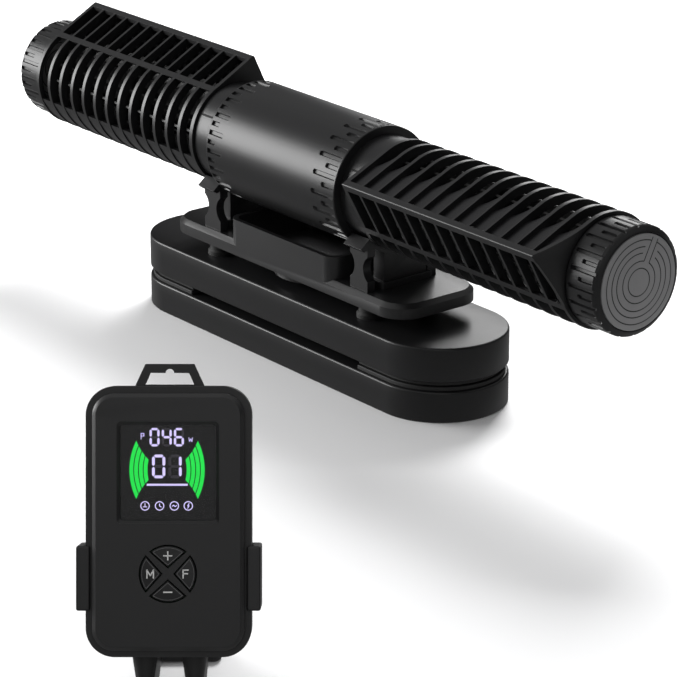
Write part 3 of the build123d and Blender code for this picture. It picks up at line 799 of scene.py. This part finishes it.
def buildCap(name):
    side = sides[name]
    bm = bmesh.new()
    columns = tickColumns(cap["pitch"], cap["radius"], cap["half"])
    rows = []
    for distance, radius in capProfile():
        row = []
        for angle in columns:
            mark = round(angle / cap["pitch"])
            across = math.radians(angle - mark * cap["pitch"]) * cap["radius"]
            depth = cap["depth"] * grooveDepth(across, distance, cap["short"] if mark % 2 else cap["long"])
            row.append(bm.verts.new(axial(side * distance, radius - depth, angle)))
        rows.append(row)
    joinRows(bm, rows)
    body = name + "_cap"
    showPiece(bm, name + "CapShown", body, "satinBlack", [name + "_end_cap"], sharp=38)
    bm = bmesh.new()
    edge = [axial(side * distance, radius, 0) for distance, radius in cap["disc"]]
    spun(bm, edge, pumpAxis, (1, 0, 0), cap["discSteps"])
    bmesh.ops.holes_fill(bm, edges=bm.edges)
    showPiece(bm, name + "CapFace", body, "capFace", [name + "_cap_disc"], sharp=60)


# painted shade: a thin dark strip along the neck, put where its groove lies in shade
neckGrooveShade = dict(turn=148, halfTurn=1.2, ends=(44.0, 55.3), low=21.3, high=21.44)


def buildNeckGrooveShade(name):
    look = neckGrooveShade
    turns = (look["turn"] - look["halfTurn"], look["turn"] + look["halfTurn"])
    top, bottom = ([[axial(sides[name] * x, radius, turn) for x in look["ends"]] for turn in turns]
                   for radius in (look["high"], look["low"]))
    bm = bmesh.new()
    slab(bm, top, bottom)
    showPiece(bm, name + "NeckGrooveShade", "motor", "grooveShadeBlack")


for name in sides:
    buildCap(name)
    buildNeckGrooveShade(name)
print("end caps ready")


# controller
forwards = -Vector(joints["plus_press"]["axis"]).normalized()
sideways = Vector((0, 0, 1)).cross(forwards).normalized()
upwards = forwards.cross(sideways)
low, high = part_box("display_window")
screenHeight = 15.3
windowSink = 1.25
faceMiddle = (low + high) / 2 - upwards * screenHeight * mm + forwards * windowSink * mm
faceToRow = Matrix((sideways, upwards, forwards)).transposed().to_4x4()
faceToRow.translation = faceMiddle


def onFace(bm):
    # drawn with x to the right, y up and z out of the controller's face, in mm
    bmesh.ops.transform(bm, matrix=faceToRow @ Matrix.Scale(mm, 4), verts=bm.verts)
    return bm


def stroke(bm, start, end, width, low, high):
    a, b = Vector(start), Vector(end)
    along = (b - a).normalized() * width / 2
    across = Vector((-along.y, along.x))
    raised(bm, [a - along - across, b + along - across, b + along + across, a - along + across], low, high)


def chain(bm, points, width, low, high):
    for start, end in zip(points, points[1:]):
        stroke(bm, start, end, width, low, high)


digits = {"0": "abcdef", "1": "bc", "4": "bcfg", "6": "acdefg"}
display = dict(
    level=-1.9, thick=0.05, gap=0.12,
    figures=(dict(text="046", left=-5.75, width=3.1, pitch=3.75, middle=26.15, height=5.7, thick=0.72),
             dict(text="01", left=-4.99, width=4.1, pitch=5.05, middle=17.15, height=7.3, thick=0.88)),
    underline=(((-6.3, 11.5), (5.7, 11.5)), 0.62),
    unitLetters=((((-8.35, 25.6), (-8.35, 27.3), (-7.5, 27.3), (-7.5, 26.5), (-8.35, 26.5)), 0.22),
                 (((6.35, 26.0), (6.55, 24.8), (6.95, 25.6), (7.3, 24.8), (7.5, 26.0)), 0.2)),
    signPlaces=(-7.14, -2.66, 1.88, 6.18), signHeight=5.0, signRing=(1.45, 1.15), signWidth=0.24,
    signs=(((-7.7, 4.7), (-6.6, 4.7)), ((-7.14, 5.7), (-7.14, 4.9)),
           ((-2.66, 5.6), (-2.66, 5.0), (-2.2, 4.7)),
           ((1.2, 4.9), (1.7, 5.2), (2.1, 4.8), (2.6, 5.1)),
           ((6.4, 5.7), (6.0, 5.0), (6.4, 5.0), (6.0, 4.3))))
waves = dict(count=4, outer=20.0, width=1.2, pitch=1.46, middle=(-0.35, 16.1), shift=8.4, steps=12,
             smallest=14.2, narrow=12, wide=26.6)


def segmentDigit(bm, middle, look, lit, level):
    # seven-segment figure, lit is a string of the letters a to g
    x, y = middle
    t = look["thick"] / 2
    w, h = look["width"] / 2 - t, look["height"] / 2 - t
    spots = {"a": ((-w, h), (w, h)), "b": ((w, h), (w, 0)), "c": ((w, 0), (w, -h)), "d": ((-w, -h), (w, -h)),
             "e": ((-w, 0), (-w, -h)), "f": ((-w, h), (-w, 0)), "g": ((-w, 0), (w, 0))}
    for letter in lit:
        a, b = (Vector(p) + Vector((x, y)) for p in spots[letter])
        along = (b - a).normalized()
        across = Vector((-along.y, along.x)) * t
        a, b = a + along * display["gap"], b - along * display["gap"]
        shoulderA, shoulderB = a + along * t, b - along * t
        outline = [a, shoulderA - across, shoulderB - across, b, shoulderB + across, shoulderA + across]
        raised(bm, outline, level - display["thick"], level)


def ringShape(bm, middle, outer, inner, level, steps=32):
    x, y = middle
    foot = level - display["thick"]
    section = ((outer, level), (outer, foot), (inner, foot), (inner, level))
    spun(bm, [(x + radius, y, z) for radius, z in section], (x, y, 0), (0, 0, 1), steps, closed=True)


def buildFigures():
    level, foot = display["level"], display["level"] - display["thick"]
    lit, unlit = bmesh.new(), bmesh.new()
    for look in display["figures"]:
        for place, letter in enumerate(look["text"]):
            middle = (look["left"] + look["width"] / 2 + place * look["pitch"], look["middle"])
            segmentDigit(lit, middle, look, digits[letter], level)
            rest = "".join(c for c in "abcdefg" if c not in digits[letter])
            segmentDigit(unlit, middle, look, rest, level - 0.02)
    for points, width in (display["underline"], *display["unitLetters"]):
        chain(lit, points, width, foot, level)
    for x in display["signPlaces"]:
        ringShape(lit, (x, display["signHeight"]), *display["signRing"], level)
    for points in display["signs"]:
        chain(lit, points, display["signWidth"], foot, level)
    showPiece(onFace(lit), "displayFigures", "base", "digitGlow", sharp=30)
    showPiece(onFace(unlit), "displayUnlit", "base", "unlitSegment", sharp=30)


def buildWaves():
    look = waves
    level, foot = display["level"], display["level"] - display["thick"]
    x, y = look["middle"]
    bm = bmesh.new()
    for side in (-1, 1):
        for band in range(look["count"]):
            outer = look["outer"] - band * look["pitch"]
            inner = outer - look["width"]
            outline = []
            for radius, way in ((outer, 1), (inner, -1)):
                wider = (radius - look["smallest"]) / (look["outer"] - look["smallest"])
                reach = math.radians(look["narrow"] + wider * (look["wide"] - look["narrow"])) * way
                for step in range(-look["steps"], look["steps"] + 1):
                    turn = reach * step / look["steps"]
                    outwards = radius * math.cos(turn) - look["shift"]
                    outline.append((x + side * outwards, y + radius * math.sin(turn)))
            raised(bm, outline, foot, level)
    showPiece(onFace(bm), "displayWaves", "base", "greenGlow", sharp=30)


buildFigures()
buildWaves()

# sloping rim inside the window's opening
windowRim = dict(half=15.68, corner=1.2, slope=0.9, top=-0.05, foot=-0.78, steps=6)


def squareOutline(half, corner, steps):
    outline = []
    for quarter in range(4):
        middle = Vector((half - corner, half - corner))
        middle.rotate(Matrix.Rotation(math.pi / 2 * quarter, 2))
        for step in range(steps + 1):
            turn = math.pi / 2 * (quarter + step / steps)
            outline.append(middle + Vector((math.cos(turn), math.sin(turn))) * corner)
    return outline


def buildWindowRim():
    look = windowRim
    bm = bmesh.new()
    rows = []
    for inset, height in ((0, look["top"]), (look["slope"], look["foot"]), (0, look["foot"])):
        outline = squareOutline(look["half"] - inset, look["corner"], look["steps"])
        rows.append([bm.verts.new((x, y + screenHeight, height)) for x, y in outline])
    joinRows(bm, rows + [rows[0]])
    showPiece(onFace(bm), "windowRimShown", "base", "shellBlack", sharp=30)


buildWindowRim()

buttonMiddle = Vector((0.0, -15.8))
buttonSigns = {
    "plus": dict(at=(0, 5.6), lines=(((-1.2, 0), (1.2, 0)), ((0, -1.2), (0, 1.2)))),
    "minus": dict(at=(0, -5.6), lines=(((-1.2, 0), (1.2, 0)),)),
    "mode": dict(at=(-5.4, 0), lines=(((-1.0, -1.2), (-1.0, 1.2), (0, -0.5), (1.0, 1.2), (1.0, -1.2)),)),
    "feed": dict(at=(5.4, 0), lines=(((-0.7, -1.2), (-0.7, 1.2), (0.8, 1.2)), ((-0.7, 0.1), (0.6, 0.1)))),
}
signPrint = dict(low=0.34, high=0.44, width=0.4)
petalRimHighlight = dict(tip=2.75, radius=8.05, halfTurn=34, steps=10, width=0.2, low=0.36, high=0.42)


def petalPoint(turn, radius):
    return buttonMiddle + Vector((math.cos(turn), math.sin(turn))) * radius


def drawPetalRimHighlight(bm, towards):
    # painted highlight: grey line just inside the edge of a button, standing for the light on its raised
    # edge, with its tip near the middle of the four
    look = petalRimHighlight
    half = math.radians(look["halfTurn"])
    turns = [towards + half * (2 * step / look["steps"] - 1) for step in range(look["steps"] + 1)]
    arc = [petalPoint(turn, look["radius"]) for turn in turns]
    tip = petalPoint(towards, look["tip"])
    chain(bm, [tip, *arc, tip], look["width"], look["low"], look["high"])


for name, look in buttonSigns.items():
    body = name + "_button"
    roundedCopy(body, body, "buttonBlack", 0.3 * mm, 3)
    bm = bmesh.new()
    middle = buttonMiddle + Vector(look["at"])
    for line in look["lines"]:
        points = [middle + Vector(point) for point in line]
        chain(bm, points, signPrint["width"], signPrint["low"], signPrint["high"])
    showPiece(onFace(bm), name + "Sign", body, "printGrey")
    # painted highlight: a grey line inside the button's edge in place of the light on its raised rim
    bm = bmesh.new()
    drawPetalRimHighlight(bm, math.atan2(look["at"][1], look["at"][0]))
    showPiece(onFace(bm), name + "Rim", body, "rimHighlightGrey")

roundedCopy("controller_front_shell", "base", "shellBlack", 0.5 * mm, 3)
roundedCopy("controller_rear_shell", "base", "shellBlack", 0.35 * mm, 3)
roundedCopy("controller_stand", "base", "shellBlack", 0.7 * mm, 3)
print("controller ready")


# finishes of the nodes that show as they were made
nodeFinishes = {
    "satinBlack": ["left_end_bell", "right_end_bell", "outer_magnet_cover", "inner_magnet_cover"],
    "rubberBlack": ["rubber_dampers", "housing_o_rings", "shell_gasket", "cable_gland"],
    "impellerDark": ["left_impeller", "right_impeller"],
    "ceramicWhite": ["ceramic_bushes", "left_cap_bush", "right_cap_bush"],
    "magnetNickel": ["outer_magnet_bars", "inner_magnet_bars", "rotor_magnet"],
    "steelBright": ["clip_screws", "shell_screws", "rotor_shaft", "rotor_can", "stator_core"],
    "copperWire": ["stator_coils"],
    "boardGreen": ["circuit_board"],
    "buttonBlack": ["button_switches"],
    "displayBlack": ["display_panel"],
    "windowDark": ["display_window"],
    "leadBlack": ["pump_lead_boot", "power_lead_boot", "pump_connector", "power_socket"],
}
for finish, names in nodeFinishes.items():
    for name in names:
        data = frame["nodes"][name].data
        data.materials.clear()
        data.materials.append(paint[finish])
